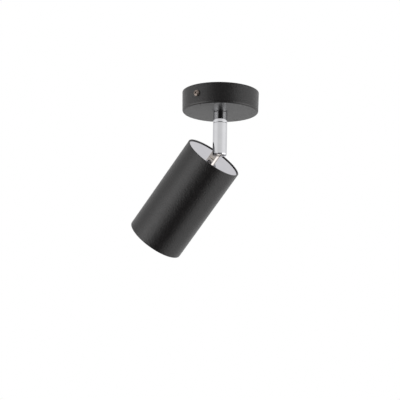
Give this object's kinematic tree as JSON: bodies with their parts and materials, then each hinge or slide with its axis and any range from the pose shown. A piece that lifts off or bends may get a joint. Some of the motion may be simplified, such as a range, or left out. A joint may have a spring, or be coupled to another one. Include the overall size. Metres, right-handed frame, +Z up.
{
  "type": "ceiling spotlight",
  "caption": "Adjustable ceiling spotlight: round canopy, short swivelling stem with a tilt hinge, and a deep cylindrical head that holds a twist-lock reflector lamp.",
  "frame": {"origin": "centre of the ceiling bracket's top face, on the ceiling plane and on the swivel axis", "axes": "+Z up into the ceiling and along the swivel axis, +Y along the bracket strap and the tilt axis, and the mouth of the head leans towards -X at rest"},
  "size_m": [0.146, 0.0842, 0.1693],
  "materials": {
    "black_powder_coat": "satin black powder coat with a very fine texture",
    "chrome_plate": "bright mirror chrome plate on turned steel",
    "satin_nickel": "satin nickel plate",
    "nickel_plated_steel": "nickel plated screws",
    "zinc_plated_steel": "bright zinc plated steel",
    "blackened_steel": "blackened steel",
    "brass": "plain brass",
    "nickel_plated_brass": "nickel plated brass",
    "white_polyamide": "moulded white polyamide",
    "black_polyamide": "moulded black polyamide",
    "steatite_ceramic": "pressed and fired steatite",
    "lead_sleeve": "heat resistant lead insulation",
    "earth_lead_sleeve": "green and yellow lead insulation",
    "lamp_base_plastic": "moulded white thermoplastic",
    "lamp_shell_plastic": "moulded white thermoplastic over aluminium",
    "led_board": "white lacquered circuit board with a yellow emitter",
    "acrylic_lens": "clear moulded lens"
  },
  "bodies": {
    "ceiling_base": {"canopy_cover": "black_powder_coat", "mounting_bracket": "zinc_plated_steel", "canopy_side_screws": "nickel_plated_steel", "terminal_block": "white_polyamide", "terminal_sleeves": "brass", "terminal_screws": "zinc_plated_steel", "terminal_block_screws": "zinc_plated_steel", "earth_screw": "brass", "earth_washer": "brass", "earth_ring_tag": "zinc_plated_steel", "earth_lead": "earth_lead_sleeve", "canopy_leads": "lead_sleeve", "canopy_locknut": "zinc_plated_steel", "canopy_lock_washer": "zinc_plated_steel", "swivel_collar": "chrome_plate", "swivel_stop_pin": "zinc_plated_steel", "swivel_washer": "black_polyamide"},
    "stem": {"stem_tube": "chrome_plate", "swivel_set_screw": "blackened_steel", "hinge_screw": "nickel_plated_steel", "hinge_spring_washer": "zinc_plated_steel", "stem_leads": "lead_sleeve"},
    "head": {"hinge_tongue": "satin_nickel", "head_cap": "chrome_plate", "housing_tube": "black_powder_coat", "cap_snap_ring": "zinc_plated_steel", "tongue_lock_washer": "zinc_plated_steel", "tongue_locknut": "zinc_plated_steel", "lampholder_bracket": "zinc_plated_steel", "lampholder": "steatite_ceramic", "lampholder_contacts": "brass", "lampholder_screws": "zinc_plated_steel", "head_leads": "lead_sleeve"},
    "lamp": {"lamp_base": "lamp_base_plastic", "lamp_pins": "nickel_plated_brass", "lamp_shell": "lamp_shell_plastic", "lamp_led_board": "led_board", "lamp_lens": "acrylic_lens"}
  },
  "joints": [
    {"name": "stem_swivel", "type": "hinge", "parent": "ceiling_base", "child": "stem", "pos_m": [0, 0, -0.0324], "axis": [0, 0, 1], "range_deg": [-155, 155]},
    {"name": "head_tilt", "type": "hinge", "parent": "stem", "child": "head", "pos_m": [0, 0, -0.0602], "axis": [0, 1, 0], "range_deg": [-43.6, 46.4]},
    {"name": "lamp_twist", "type": "hinge", "parent": "head", "child": "lamp", "pos_m": [-0.04138, 0, -0.10365], "axis": [0.6896, 0, 0.7242], "range_deg": [-30, 0]}
  ]
}
